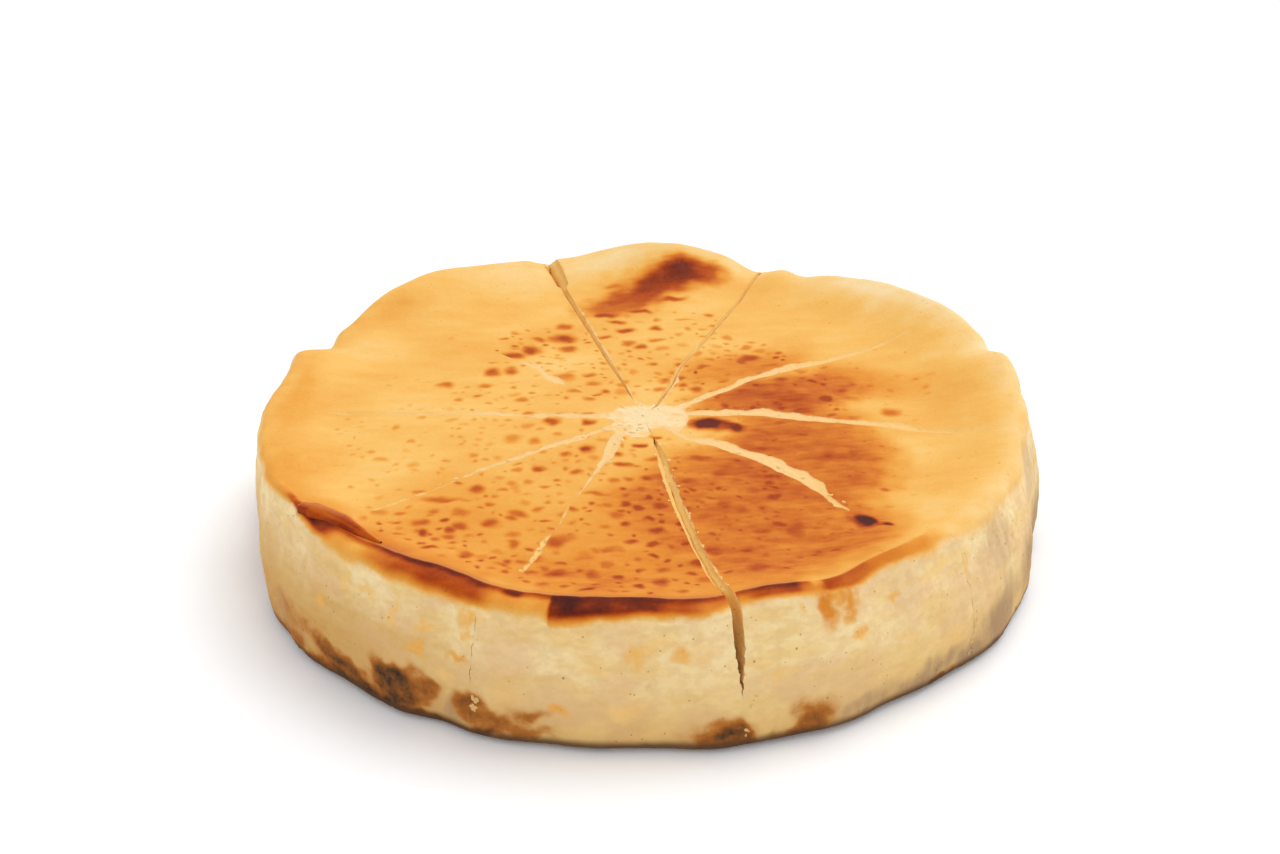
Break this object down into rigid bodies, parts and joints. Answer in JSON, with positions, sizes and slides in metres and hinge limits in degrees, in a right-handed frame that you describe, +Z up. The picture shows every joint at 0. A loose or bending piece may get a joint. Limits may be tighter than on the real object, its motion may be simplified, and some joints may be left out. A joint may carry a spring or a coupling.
{
  "type": "pre-cut baked cheesecake",
  "caption": "Round baked cheesecake without a crust, cut into wedges that still stand together, with a browned top, a raised scorched rim and a pale creased side.",
  "frame": {"origin": "under the middle of the cake, on the flat base that it stands on", "axes": "+Z up through the cake, -Y towards the side with the dark scorched rim"},
  "size_m": [0.2438, 0.246, 0.0485],
  "materials": {
    "baked_cheesecake": "satin golden skin on top, matte pale crumb at the side and in the cuts"
  },
  "bodies": {
    "root": {"slice_01": "baked_cheesecake", "slice_02": "baked_cheesecake", "slice_03": "baked_cheesecake", "slice_04": "baked_cheesecake", "slice_05": "baked_cheesecake", "slice_06": "baked_cheesecake", "slice_07": "baked_cheesecake", "slice_08": "baked_cheesecake", "slice_09": "baked_cheesecake", "slice_10": "baked_cheesecake"}
  },
  "joints": []
}
